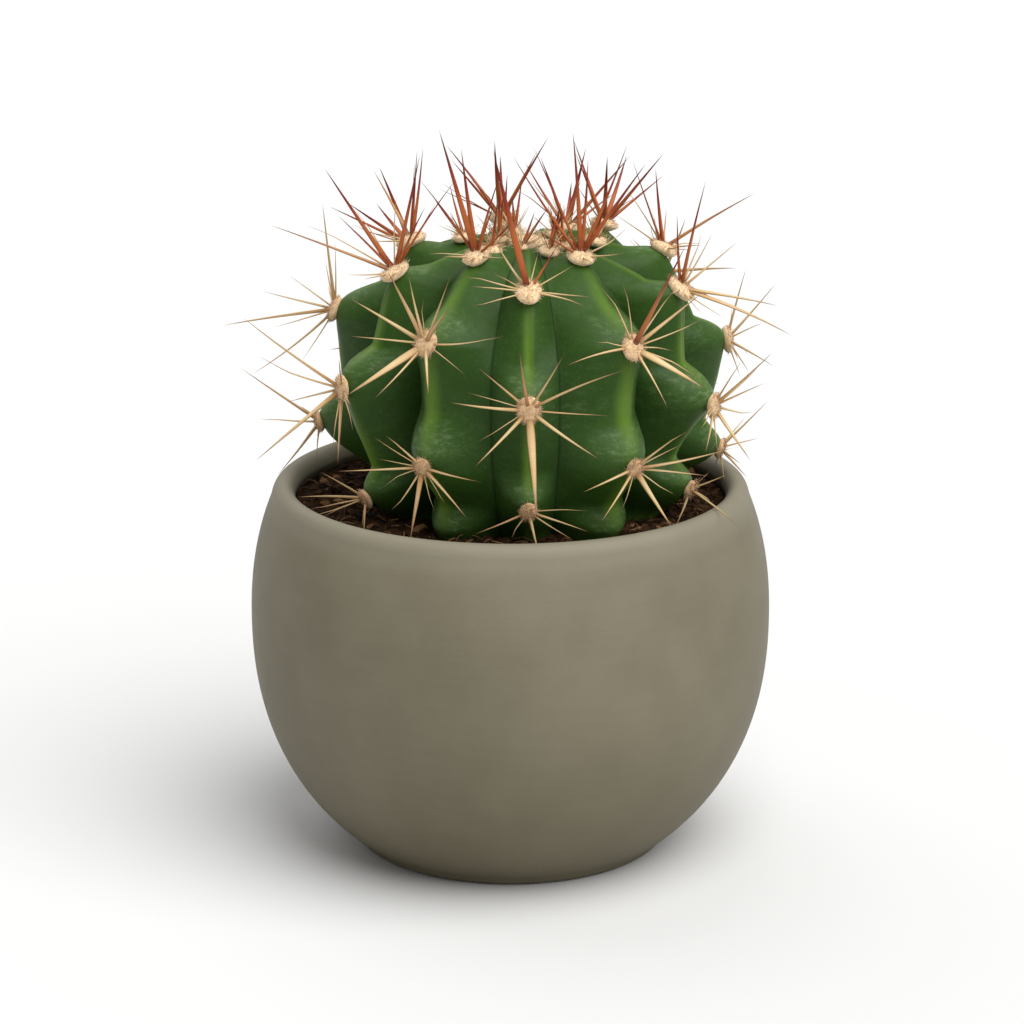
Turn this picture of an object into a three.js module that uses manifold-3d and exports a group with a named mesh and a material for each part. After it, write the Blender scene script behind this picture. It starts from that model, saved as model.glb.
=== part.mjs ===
// Round ribbed cactus in a bulging matte pot, millimetres, +Z up.
// The origin is the centre of the pot's underside and -Y is the front.
// The plant stands a little to the right of the pot's middle, bedded in the soil.
import * as THREE from 'three';
import { mergeVertices } from 'three/addons/utils/BufferGeometryUtils.js';
import Module from 'manifold-3d';

const wasm = await Module();
wasm.setup();

// Pot
const potHeight = 108;
const potRadius = 75; // at the widest ring
const bulgeHeight = 69; // height of that ring
const bulgeBelow = 80; // how far the bulge would reach below it
const bulgeAbove = 77; // and above it
const bulgePower = 2.2; // 2 is an ellipse, more is squarer
const wall = 7;
const floorThickness = 9;
const footBevel = 1.5;
const lipDrop = 4.5; // height of the rounded lip
const roundSides = 44;

// Soil
const soilTop = 102.5;
const gap = 0.3; // between pieces that touch

// Plant, with heights measured from the soil
const plantX = 5;
const stemRadius = 56;
const beltHeight = 40; // height of the widest ring
const crownRise = 37.5; // from the widest ring to the crown
const rootDrop = 62.9; // from the widest ring to the buried tip
const crownPower = 2.4;
const crownDimple = 3;
const dimpleRadius = 9;
const ribCount = 11;
const ribSpread = 1.5; // degrees by which the ribs stray from even spacing
const ribFade = [-66, -44]; // latitudes between which the ribs rise out of the buried tip
const flankPower = 1.05; // 1 is a straight flank from crest to valley, more is fuller
const knobFullness = 0.6; // added to that power where the rib swells
const crownFlattening = 0.4; // power of the cosine by which the ribs die away at the crown
const valleySink = 0.5; // share of a valley's depth that also moves it towards the belt
const shelfStart = 1.5; // degrees above a swelling's middle at which it begins to drop
const stemColumns = ribCount * 6;
const stemRows = 28;

// Along each rib from its foot to the crown: [latitude of a swelling, how far the rib stands out
// there, degrees that the swelling takes to drop above it, depth of the dip above it]. The first
// swelling is the rib's foot, and the others carry areoles. Ribs count from the front one, 1 next
// to it on the right.
const ribShapes = new Map([
  [0, [[-48, 0, 8, 1], [-27, 1.5, 9, 3], [1, 1.5, 16, 5.5], [47, 1.5, 14, 2]]],
  [1, [[-38, 2.5, 8, 2.5], [-16, 2, 12, 4.3], [20, 1.5, 24, 3.5], [65, 1.5, 12, 1]]],
  [2, [[-50, 0, 8, 2], [-29, 1.5, 6, 6], [-5.5, 1.5, 13, 7.8], [38, 1.5, 14, 4]]],
  [3, [[-44, 0, 8, 2], [-24, 5, 7, 1.8], [4.5, 1.5, 15, 6.5], [51, 1.5, 14, 2]]],
  [4, [[-36, 2, 8, 3], [-11, 1.5, 12, 4], [23, 1.5, 20, 4], [63, 1.5, 12, 1]]],
  [5, [[-46, 0, 8, 2], [-25, 1.5, 9, 4], [1, 1.5, 15, 6], [45, 1.5, 14, 2]]],
  [-5, [[-38, 2, 8, 3], [-16, 1.5, 11, 4], [20, 1.5, 20, 4], [64, 1.5, 12, 1]]],
  [-4, [[-48, 0, 8, 2], [-26, 1.5, 9, 4], [-3, 1.5, 14, 6], [40, 1.5, 14, 3]]],
  [-3, [[-42, 0, 8, 2], [-16.6, 7, 9, 1.7], [16.3, 1.5, 25, 5], [58, 1.5, 12, 2]]],
  [-2, [[-52, 0, 8, 2], [-31, 3, 7, 2.2], [-1, 1.5, 17, 7.1], [47.5, 1.5, 14, 2]]],
  [-1, [[-38, 2.5, 8, 2.5], [-15.7, 2, 14, 4.3], [21.6, 1.5, 22, 2], [65, 1.5, 12, 1]]],
]);

// A valley's place as a share of the way from one rib to the next, and its depth as a share of the
// radius, low on the stem and high on it. The two beside the front rib are close to it and shallow.
const plainValley = { share: 0.5, low: 0.31, high: 0.31 };
const frontValleys = new Map([
  [0, { share: 0.31, low: 0.1, high: 0.17 }],
  [-1, { share: 0.62, low: 0.1, high: 0.17 }],
]);
const valleyChange = [5, 35]; // latitudes between which the depth goes from low to high

// Spines of the three areoles of each front rib, from the soil to the crown. Each spine is [clock,
// lift, length, width]: the clock angle runs clockwise from straight up the rib, the lift is the
// angle off the skin, and the width is at the base.
const ribSpines = new Map([
  [0, [
    [[250, 15, 16, 1.2], [165, 35, 9, 1.4], [100, 15, 17, 1.2], [20, 45, 9, 1.2]],
    [[350, 35, 24, 1.4], [30, 25, 22, 1.3], [315, 20, 20, 1.3], [275, 15, 22, 1.4],
      [225, 20, 21, 1.5], [175, 22, 28, 2.6], [125, 20, 23, 1.5], [58, 25, 34, 1.3]],
    [[330, 60, 41, 2.6], [315, 30, 18, 1.3], [40, 35, 15, 1.3], [112, 10, 18, 1.2],
      [268, 12, 17, 1.2]],
  ]],
  [1, [
    [[35, 20, 19, 1.2], [80, 20, 31, 1.3], [270, 15, 22, 1.3], [220, 20, 18, 1.3],
      [155, 25, 19, 1.8]],
    [[10, 50, 35, 1.8], [70, 20, 24, 1.6], [335, 25, 23, 1.2], [155, 25, 21, 2.6],
      [195, 20, 20, 1.3], [275, 10, 29, 1.2]],
    [[350, 75, 35, 2], [25, 72, 27, 1.5], [105, 65, 32, 2.4], [75, 62, 33, 1.5],
      [310, 48, 33, 1.5], [285, 25, 12, 1.2]],
  ]],
  [2, [
    [[225, 28, 12, 1.3], [15, 40, 13, 1.2], [295, 62, 26, 1.2], [110, 25, 14, 1.2]],
    [[15, 40, 23, 1.4], [50, 30, 18, 1.2], [180, 42, 18, 2.2], [270, 12, 17, 1.2],
      [225, 15, 15, 1.3]],
    [[355, 60, 32, 1.8], [350, 42, 21, 1.4], [100, 65, 20, 1.3], [160, 35, 27, 1.6],
      [168, 28, 33, 2.4], [265, 20, 17, 1.2]],
  ]],
  [3, [
    [[355, 25, 19, 1.3], [215, 60, 11, 1.2], [60, 25, 17, 1.2], [270, 15, 14, 1.2]],
    [[0, 18, 21, 1.3], [350, 45, 21, 1.3], [210, 55, 15, 1.2], [120, 20, 20, 1.3],
      [270, 15, 15, 1.2]],
    [[0, 55, 23, 2], [340, 40, 30, 1.3], [195, 62, 30, 1.5], [90, 25, 18, 1.2]],
  ]],
  [-1, [
    [[330, 20, 14, 1.2], [265, 15, 24, 1.3], [185, 25, 21, 1.8], [110, 20, 22, 1.4],
      [75, 15, 28, 1.2]],
    [[205, 25, 26, 2.8], [335, 35, 20, 1.6], [285, 15, 26, 1.6], [35, 30, 25, 1.3],
      [85, 12, 30, 1.2], [170, 20, 21, 1.3], [125, 20, 25, 1.4]],
    [[280, 80, 38, 2.8], [325, 72, 30, 1.8], [75, 40, 18, 1.3], [15, 60, 23, 1.3],
      [265, 55, 26, 1.3]],
  ]],
  [-2, [
    [[345, 25, 15, 1.2], [330, 50, 18, 1.3], [285, 70, 15, 1.2], [110, 40, 11, 1.2]],
    [[335, 50, 34, 1.4], [310, 60, 24, 1.2], [200, 50, 31, 1.8], [160, 14, 21, 1.6],
      [95, 14, 17, 1.2]],
    [[270, 75, 35, 1.6], [215, 50, 36, 1.4], [0, 45, 33, 2], [20, 40, 21, 1.4],
      [240, 66, 22, 1.3], [120, 18, 14, 1.2]],
  ]],
  [-3, [
    [[10, 40, 27, 1.3], [170, 50, 20, 1.3], [285, 30, 17, 1.2], [100, 20, 13, 1.2]],
    [[5, 25, 32, 1.8], [150, 62, 32, 1.8], [105, 70, 21, 1.3], [165, 25, 28, 1.3],
      [270, 20, 17, 1.2]],
    [[0, 65, 26, 1.6], [45, 55, 24, 1.3], [250, 50, 26, 1.4], [130, 20, 14, 1.2]],
  ]],
]);

// The ribs behind carry the same kinds of spines in a regular star.
const starSpines = 6;
const starTurn = 14; // degrees by which the star turns from one rib to the next
const starByAge = [
  { lift: 34, length: 14, width: 1.3 },
  { lift: 24, length: 22, width: 1.5 },
  { lift: 50, length: 28, width: 1.8 },
];

// Felt cushions by age, from the oldest by the soil to the youngest: half sizes across the rib,
// along it and out
const feltByAge = [
  [2.5, 3, 1.8],
  [3.4, 3.9, 2.2],
  [3.7, 4.5, 2.5],
];
const feltLift = 0.8; // of a cushion's middle off the crest
const spineSides = 4;

// Woolly centre of the crown
const woolRadius = 12.5;
const woolThickness = 4.5;
const woolSpines = 11;
const woolSpineLength = 21;
const goldenTurn = Math.PI * (3 - Math.sqrt(5));

const radians = THREE.MathUtils.degToRad;
const clamp = THREE.MathUtils.clamp;
const ribTurn = (2 * Math.PI) / ribCount;

// A closed geometry as a manifold-3d solid.
function solidOf(geometry) {
  const bare = geometry.clone();
  bare.deleteAttribute('normal');
  bare.deleteAttribute('uv');
  const merged = mergeVertices(bare, 1e-4);
  return new wasm.Manifold(new wasm.Mesh({
    numProp: 3,
    vertProperties: merged.attributes.position.array,
    triVerts: new Uint32Array(merged.index.array),
  }));
}

// A manifold-3d solid as a three.js geometry.
function geometryOf(solid) {
  const mesh = solid.getMesh();
  const geometry = new THREE.BufferGeometry();
  geometry.setAttribute('position', new THREE.BufferAttribute(mesh.vertProperties, 3));
  geometry.setIndex(new THREE.BufferAttribute(mesh.triVerts, 1));
  return geometry;
}

// Radius of the pot's outside at a height: a truncated super-ellipse.
function potOutside(height) {
  const reach = height < bulgeHeight ? bulgeBelow : bulgeAbove;
  const share = Math.abs(height - bulgeHeight) / reach;
  return potRadius * (1 - share ** bulgePower) ** (1 / bulgePower);
}

// Points up or down the pot's wall, inset from its outside.
function wallPoints(from, to, steps, inset) {
  const points = [];
  for (let i = 0; i <= steps; i += 1) {
    const height = THREE.MathUtils.lerp(from, to, i / steps);
    points.push(new THREE.Vector2(potOutside(height) - inset, height));
  }
  return points;
}

// A profile of radius and height spun about +Z.
function spun(profile) {
  return new THREE.LatheGeometry(profile, roundSides).rotateX(Math.PI / 2);
}

function potGeometry() {
  const lipStart = potHeight - lipDrop;
  const outer = potOutside(lipStart);
  const middle = outer - wall / 2;
  const lip = new THREE.CubicBezierCurve(
    new THREE.Vector2(outer, lipStart),
    new THREE.Vector2(outer - 0.8, potHeight + lipDrop / 3),
    new THREE.Vector2(middle - wall / 2 + 0.4, potHeight + lipDrop / 3),
    new THREE.Vector2(outer - wall, lipStart),
  );
  return spun([
    new THREE.Vector2(0, 0),
    new THREE.Vector2(potOutside(0) - footBevel, 0),
    ...wallPoints(footBevel, lipStart, 12, 0),
    ...lip.getPoints(6).slice(1),
    ...wallPoints(lipStart, floorThickness, 8, wall).slice(1),
    new THREE.Vector2(0, floorThickness),
  ]);
}

// Radius and height of the rib crests at a latitude: -90 is the buried tip and 90 the crown.
function crestLine(latitude) {
  const angle = radians(latitude);
  const out = Math.max(Math.cos(angle), 0);
  const up = Math.sin(angle);
  if (latitude > 0) {
    const power = 2 / crownPower;
    return new THREE.Vector2(stemRadius * out ** power, beltHeight + crownRise * up ** power);
  }
  return new THREE.Vector2(stemRadius * out, beltHeight + rootDrop * up);
}

// The valleys lie off the middle between ribs, and the ribs stray a little from even spacing.
function strayed(turn) {
  const steps = turn / ribTurn;
  const rib = Math.floor(steps);
  const { share } = valleyAfter(rib);
  const between = steps - rib;
  const moved = between < 0.5 ? between * 2 * share : 1 - (1 - between) * 2 * (1 - share);
  const even = (rib + moved) * ribTurn;
  return even - radians(ribSpread) * Math.sin(2 * even);
}

// How far a rib's crest stands off the crest line, and how much of a swelling is there, 0 to 1. A
// swelling eases down to the dip above it, and the crest rises from there to the next swelling.
function crestRelief(shape, latitude) {
  if (latitude <= shape[0][0]) {
    return { push: shape[0][1], knob: 1 };
  }
  const below = shape.findLastIndex(([place]) => latitude > place);
  const [place, size, shelf, dip] = shape[below];
  const step = latitude - place;
  const upper = shape[below + 1];
  if (step <= shelf || upper === undefined) {
    const away = THREE.MathUtils.smoothstep(step, shelfStart, shelf);
    return { push: size - (size + dip) * away, knob: 1 - away };
  }
  const share = (upper[0] - latitude) / (upper[0] - place - shelf);
  const drop = below === 0 ? THREE.MathUtils.smoothstep(share, 0, 1) : 1 - (1 - share) ** 2;
  return { push: upper[1] - (upper[1] + dip) * drop, knob: 1 - drop };
}

// Numbers the ribs from -5 to 5.
function ribNumber(rib) {
  const wrapped = ((rib % ribCount) + ribCount) % ribCount;
  return wrapped > ribCount / 2 ? wrapped - ribCount : wrapped;
}

function valleyAfter(rib) {
  return frontValleys.get(ribNumber(rib)) ?? plainValley;
}

// Spines of a rib's areole by age, from 0 by the soil to 2 by the crown.
function spinesOf(rib, age) {
  if (ribSpines.has(rib)) {
    return ribSpines.get(rib)[age];
  }
  const { lift, length, width } = starByAge[age];
  const star = [];
  for (let i = 0; i < starSpines; i += 1) {
    const clock = starTurn * rib + (i + 0.5) * (360 / starSpines);
    star.push([clock, lift + 5 * (i % 2), length - 3 * (i % 3), width]);
  }
  return star;
}

// Unit normal of the crest line, as radius and height.
function crestNormal(latitude) {
  const upper = crestLine(Math.min(latitude + 0.3, 90));
  const slope = upper.sub(crestLine(Math.max(latitude - 0.3, -90))).normalize();
  return new THREE.Vector2(slope.y, -slope.x);
}

// A point of the stem's skin: the crest line with the rib's relief, pulled in towards the valleys.
function skinPoint(turn, latitude) {
  const nearest = Math.round(turn / ribTurn);
  const valley = valleyAfter(Math.floor(turn / ribTurn));
  const fall = Math.abs(turn / ribTurn - nearest) * 2;
  const rise = THREE.MathUtils.smoothstep(latitude, ...ribFade);
  const crown = Math.cos(radians(clamp(latitude, 0, 90))) ** crownFlattening;
  const { push, knob } = crestRelief(ribShapes.get(ribNumber(nearest)), latitude);
  const change = THREE.MathUtils.smoothstep(latitude, ...valleyChange);
  const full = THREE.MathUtils.lerp(valley.low, valley.high, change);
  const depth = full * rise * crown * fall ** (flankPower + knobFullness * knob);
  const lift = push * (1 - fall) * rise * crown;
  const line = crestLine(latitude);
  const normal = crestNormal(latitude);
  const radius = line.x * (1 - depth) + lift * normal.x;
  const above = (line.y - beltHeight) * (1 - depth * valleySink) + lift * normal.y;
  const dimple = crownDimple * Math.exp(-((line.x / dimpleRadius) ** 2)) * (latitude > 0 ? 1 : 0);
  const azimuth = strayed(turn);
  return new THREE.Vector3(
    plantX + radius * Math.sin(azimuth),
    -radius * Math.cos(azimuth),
    soilTop + beltHeight + above - dimple,
  );
}

// The stem is a sphere whose every point moves to the skin point of its turn and latitude.
function stemGeometry() {
  const sphere = new THREE.SphereGeometry(1, stemColumns, stemRows).rotateX(Math.PI / 2);
  sphere.deleteAttribute('normal');
  sphere.deleteAttribute('uv');
  const skin = mergeVertices(sphere, 1e-4);
  const place = skin.attributes.position;
  const halfColumn = Math.PI / stemColumns; // brings a column of points onto every crest
  for (let i = 0; i < place.count; i += 1) {
    const turn = Math.atan2(place.getX(i), -place.getY(i)) + halfColumn;
    const latitude = THREE.MathUtils.radToDeg(Math.asin(clamp(place.getZ(i), -1, 1)));
    const point = skinPoint(turn, latitude);
    place.setXYZ(i, point.x, point.y, point.z);
  }
  skin.computeVertexNormals();
  return skin;
}

// The same skin moved out along its normals.
function grown(geometry, distance) {
  const result = geometry.clone();
  const { position, normal } = result.attributes;
  for (let i = 0; i < position.count; i += 1) {
    const point = new THREE.Vector3().fromBufferAttribute(position, i);
    point.addScaledVector(new THREE.Vector3().fromBufferAttribute(normal, i), distance);
    position.setXYZ(i, point.x, point.y, point.z);
  }
  return result;
}

// Where an areole sits: its place on the crest and the directions up the rib, across it and out.
function seat(rib, latitude, swell) {
  const azimuth = strayed(rib * ribTurn);
  const line = crestLine(latitude);
  const normal = crestNormal(latitude);
  const away = new THREE.Vector3(Math.sin(azimuth), -Math.cos(azimuth), 0);
  const up = away.clone().multiplyScalar(-normal.y).setZ(normal.x);
  const out = away.clone().multiplyScalar(normal.x).setZ(normal.y);
  const across = new THREE.Vector3().crossVectors(up, out);
  const place = away.clone().multiplyScalar(line.x).add(new THREE.Vector3(plantX, 0, soilTop + line.y));
  return { place: place.addScaledVector(out, swell + feltLift), up, across, out };
}

// A flattened felt cushion.
function cushion({ place, up, across, out }, [acrossSize, alongSize, outSize]) {
  const shape = new THREE.SphereGeometry(1, 8, 5).scale(acrossSize, alongSize, outSize);
  const frame = new THREE.Matrix4().makeBasis(across, up, out).setPosition(place);
  return solidOf(shape.applyMatrix4(frame));
}

// A straight tapering spine from a point, given its direction.
function spike(from, direction, length, width) {
  const cone = new THREE.ConeGeometry(width / 2, length, spineSides).translate(0, length / 2, 0);
  const turn = new THREE.Quaternion().setFromUnitVectors(new THREE.Vector3(0, 1, 0), direction);
  return solidOf(cone.applyQuaternion(turn).translate(from.x, from.y, from.z));
}

function spineDirection({ up, across, out }, clock, lift) {
  const flat = Math.cos(radians(lift));
  return new THREE.Vector3()
    .addScaledVector(up, flat * Math.cos(radians(clock)))
    .addScaledVector(across, flat * Math.sin(radians(clock)))
    .addScaledVector(out, Math.sin(radians(lift)));
}

// An areole: the felt cushion and its main spines in one piece, cut to sit on the stem.
function areoleGeometry(rib, age, stemCut) {
  const [latitude, swell] = ribShapes.get(rib)[age + 1];
  const base = seat(rib, latitude, swell);
  let solid = cushion(base, feltByAge[age]);
  for (const [clock, lift, length, width] of spinesOf(rib, age)) {
    solid = solid.add(spike(base.place, spineDirection(base, clock, lift), length, width));
  }
  return geometryOf(solid.subtract(stemCut));
}

// The crown's wool, with young spines standing in a spiral.
function crownGeometry(stemCut) {
  const top = new THREE.Vector3(plantX, 0, crestLine(90).y + soilTop - crownDimple);
  const centre = {
    place: top,
    up: new THREE.Vector3(0, 1, 0),
    across: new THREE.Vector3(1, 0, 0),
    out: new THREE.Vector3(0, 0, 1),
  };
  let solid = cushion(centre, [woolRadius, woolRadius, woolThickness]);
  for (let i = 0; i < woolSpines; i += 1) {
    const share = (i + 0.5) / woolSpines;
    const turn = i * goldenTurn;
    const out = new THREE.Vector3(Math.cos(turn), Math.sin(turn), 0);
    const from = top.clone().addScaledVector(out, woolRadius * 0.7 * Math.sqrt(share));
    const lean = new THREE.Vector3(0, 0, 1).addScaledVector(out, 0.15 + 0.25 * share).normalize();
    solid = solid.add(spike(from, lean, woolSpineLength - 5 * share, 1.5));
  }
  return geometryOf(solid.subtract(stemCut));
}

// Soil fills the pot up to its level, less the hollow that the stem stands in.
function soilGeometry(stemCut) {
  const filling = spun([
    new THREE.Vector2(0, floorThickness + gap),
    ...wallPoints(floorThickness + gap, soilTop, 8, wall + gap),
    new THREE.Vector2(0, soilTop),
  ]);
  return geometryOf(solidOf(filling).subtract(stemCut));
}

function finish(color, roughness) {
  return new THREE.MeshStandardMaterial({ color, roughness, metalness: 0 });
}

function piece(name, geometry, material) {
  const mesh = new THREE.Mesh(geometry, material);
  mesh.name = name;
  return mesh;
}

const stem = stemGeometry();
const stemCut = solidOf(grown(stem, gap));
const oldSpines = finish(0xd6bd92, 0.6);
const youngSpines = finish(0xa9482c, 0.5);

const group = new THREE.Group();
group.add(piece('pot', potGeometry(), finish(0x8d8776, 0.85)));
group.add(piece('soil', soilGeometry(stemCut), finish(0x35261b, 0.95)));
group.add(piece('cactus_stem', stem, finish(0x3c7035, 0.45)));
group.add(piece('crown_tuft', crownGeometry(stemCut), youngSpines));
for (let rib = -5; rib <= 5; rib += 1) {
  const side = rib < 0 ? 'left' : 'right';
  const label = rib === 0 ? 'front' : side + Math.abs(rib);
  for (let age = 0; age < 3; age += 1) {
    const material = age === 2 ? youngSpines : oldSpines;
    group.add(piece(`areole_${label}_${age + 1}`, areoleGeometry(rib, age, stemCut), material));
  }
}

export default group;
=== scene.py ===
import math
import bpy
import numpy as np
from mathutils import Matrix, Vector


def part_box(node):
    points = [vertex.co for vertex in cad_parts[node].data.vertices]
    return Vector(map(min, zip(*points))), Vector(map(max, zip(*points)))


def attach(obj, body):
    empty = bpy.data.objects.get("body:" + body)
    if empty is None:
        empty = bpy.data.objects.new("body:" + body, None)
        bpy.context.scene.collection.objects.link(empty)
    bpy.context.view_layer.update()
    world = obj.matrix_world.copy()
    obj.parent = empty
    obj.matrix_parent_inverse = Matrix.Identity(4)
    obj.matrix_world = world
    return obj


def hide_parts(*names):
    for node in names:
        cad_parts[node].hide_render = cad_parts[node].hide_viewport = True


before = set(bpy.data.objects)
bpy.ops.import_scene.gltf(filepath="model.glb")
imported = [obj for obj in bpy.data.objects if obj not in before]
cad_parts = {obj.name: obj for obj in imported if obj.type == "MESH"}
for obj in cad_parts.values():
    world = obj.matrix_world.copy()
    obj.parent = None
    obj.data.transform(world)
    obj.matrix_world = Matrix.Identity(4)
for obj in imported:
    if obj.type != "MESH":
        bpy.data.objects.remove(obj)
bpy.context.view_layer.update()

mm = 0.001
rng = np.random.default_rng(11)  # seeded, as the noises below are, so each run gives the same plant

# the camera looks down a little from the front
view = {
    "distance": 1.2,          # metres from the aim point
    "elevation": 16.35,       # degrees above the horizon
    "aim": (0.0004, 0.0, 0.098),
    "lens": 146.2,            # mm on a 36 mm wide sensor
}
# a dim white room with two broad suns, strengths and places
studio = {
    "world": 0.47,
    "key": 3.95,              # a broad soft light from the upper right, in front
    "keyFrom": (0.54, -0.58, 1.25),
    "keySpread": 60,          # degrees
    "back": 0.8,
    "backFrom": (-0.5, 0.9, 1.2),
    "backSpread": 60,
    "floorShade": 0.60,
}


def makeCamera():
    # stands back from the aim point by the distance, at the elevation
    lens = bpy.data.cameras.new("camera")
    lens.lens = view["lens"]
    lens.sensor_width = 36
    lens.clip_end = 50
    camera = bpy.data.objects.new("camera", lens)
    rise = math.radians(view["elevation"])
    aimX, aimY, aimZ = view["aim"]
    back = view["distance"] * math.cos(rise)
    camera.location = (aimX, aimY - back, aimZ + view["distance"] * math.sin(rise))
    camera.rotation_euler = (math.pi / 2 - rise, 0, 0)
    bpy.context.collection.objects.link(camera)
    bpy.context.scene.camera = camera


def softSun(name, source, strength, spread):
    # a sun that shines from its source towards the origin, softened by its spread
    lamp = bpy.data.lights.new(name, "SUN")
    lamp.energy = strength
    lamp.angle = math.radians(spread)
    holder = bpy.data.objects.new(name, lamp)
    x, y, z = source
    holder.location = source
    holder.rotation_euler = (math.atan2(math.hypot(x, y), z), 0, math.atan2(y, x) + math.pi / 2)
    bpy.context.collection.objects.link(holder)


def makeStudio():
    # an even white world, the two suns and a plain view transform
    world = bpy.data.worlds.new("softRoom")
    world.use_nodes = True
    background = world.node_tree.nodes["Background"]
    background.inputs["Color"].default_value = (1, 1, 1, 1)
    background.inputs["Strength"].default_value = studio["world"]
    bpy.context.scene.world = world
    bpy.context.scene.view_settings.view_transform = "Standard"
    softSun("keyLight", studio["keyFrom"], studio["key"], studio["keySpread"])
    softSun("backLight", studio["backFrom"], studio["back"], studio["backSpread"])


# smooth value noise on a lattice of random numbers that repeats every 32 cells
class Noise:
    def __init__(self, seed):
        self.lattice = np.random.default_rng(seed).random((32, 32, 32)) * 2 - 1

    def at(self, points, cell):
        # trilinear mix of the 8 lattice values around each point, with eased steps
        q = points / cell
        low = np.floor(q).astype(int)
        f = q - low
        f = f * f * (3 - 2 * f)
        total = 0
        for corner in np.ndindex(2, 2, 2):
            weight = np.prod(np.where(np.array(corner) == 1, f, 1 - f), axis=-1)
            i = (low + corner) % 32
            total = total + weight * self.lattice[i[..., 0], i[..., 1], i[..., 2]]
        return total


softNoise = Noise(3)
roughNoise = Noise(8)


def meshFrom(name, points, quads, triangles, material, attributes):
    # one mesh from arrays of points, four-sided and three-sided faces
    mesh = bpy.data.meshes.new(name)
    mesh.vertices.add(len(points))
    mesh.vertices.foreach_set("co", np.asarray(points, np.float32).ravel())
    corners = np.concatenate([quads.ravel(), triangles.ravel()]).astype(np.int32)
    sizes = np.concatenate([np.full(len(quads), 4), np.full(len(triangles), 3)])
    mesh.loops.add(len(corners))
    mesh.loops.foreach_set("vertex_index", corners)
    mesh.polygons.add(len(sizes))
    mesh.polygons.foreach_set("loop_start", (np.cumsum(sizes) - sizes).astype(np.int32))
    mesh.polygons.foreach_set("use_smooth", np.ones(len(sizes), bool))
    for key, values in attributes.items():
        layer = mesh.attributes.new(key, "FLOAT", "POINT")
        layer.data.foreach_set("value", np.asarray(values, np.float32).ravel())
    mesh.update(calc_edges=True)
    mesh.validate()
    mesh.materials.append(material)
    piece = bpy.data.objects.new(name, mesh)
    bpy.context.collection.objects.link(piece)
    return piece


def closedTubes(rings, starts, ends):
    # a batch of closed tubes: rings (tube, ring, side, xyz) capped by a point at each end
    count, rows, sides, _ = rings.shape
    points = np.concatenate([rings.reshape(count, -1, 3), starts[:, None], ends[:, None]], axis=1)
    across = np.arange(sides)
    after = (across + 1) % sides
    row = np.arange(rows - 1)[:, None] * sides
    quads = np.stack([row + across, row + after, row + sides + after, row + sides + across], -1)
    first = np.stack([np.full(sides, rows * sides), after, across], -1)
    last = (rows - 1) * sides
    final = np.stack([np.full(sides, rows * sides + 1), last + across, last + after], -1)
    offset = (np.arange(count) * (rows * sides + 2))[:, None, None]
    quads = quads.reshape(-1, 4)[None] + offset
    triangles = np.concatenate([first, final])[None] + offset
    return points.reshape(-1, 3), quads.reshape(-1, 4), triangles.reshape(-1, 3)


def tubeValues(ringValues, startValues, endValues):
    # per-point values in the same order as the points of closedTubes
    count = ringValues.shape[0]
    flat = ringValues.reshape(count, -1)
    return np.concatenate([flat, startValues[:, None], endValues[:, None]], axis=1).ravel()


def unit(vectors):
    # each vector over its own length
    return vectors / np.linalg.norm(vectors, axis=-1, keepdims=True)


def joined(parts):
    # several (points, quads, triangles, attributes) sets as one
    offset = 0
    points, quads, triangles, values = [], [], [], {}
    for p, q, t, a in parts:
        points.append(p)
        quads.append(q + offset)
        triangles.append(t + offset)
        for key, value in a.items():
            values.setdefault(key, []).append(value)
        offset += len(p)
    merged = {key: np.concatenate(value) for key, value in values.items()}
    return np.concatenate(points), np.concatenate(quads), np.concatenate(triangles), merged


# a number on a shader socket, so that a + b * c builds its Math nodes
class Val:
    def __init__(self, shader, socket):
        self.shader = shader
        self.socket = socket

    # the value and the others through one Math node
    def math(self, kind, *others):
        inputs = dict(enumerate([self, *others]))
        return self.shader.node("ShaderNodeMath", {"operation": kind}, inputs)

    def __add__(self, other):
        return self.math("ADD", other)

    def __mul__(self, other):
        return self.math("MULTIPLY", other)

    def __sub__(self, other):
        return self.math("SUBTRACT", other)

    def __rsub__(self, other):
        return self.shader.node("ShaderNodeMath", {"operation": "SUBTRACT"}, {0: other, 1: self})

    # eases from 0 at low to 1 at high
    def between(self, low, high):
        settings = {"interpolation_type": "SMOOTHSTEP"}
        return self.shader.node("ShaderNodeMapRange", settings, {0: self, 1: low, 2: high})


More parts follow.
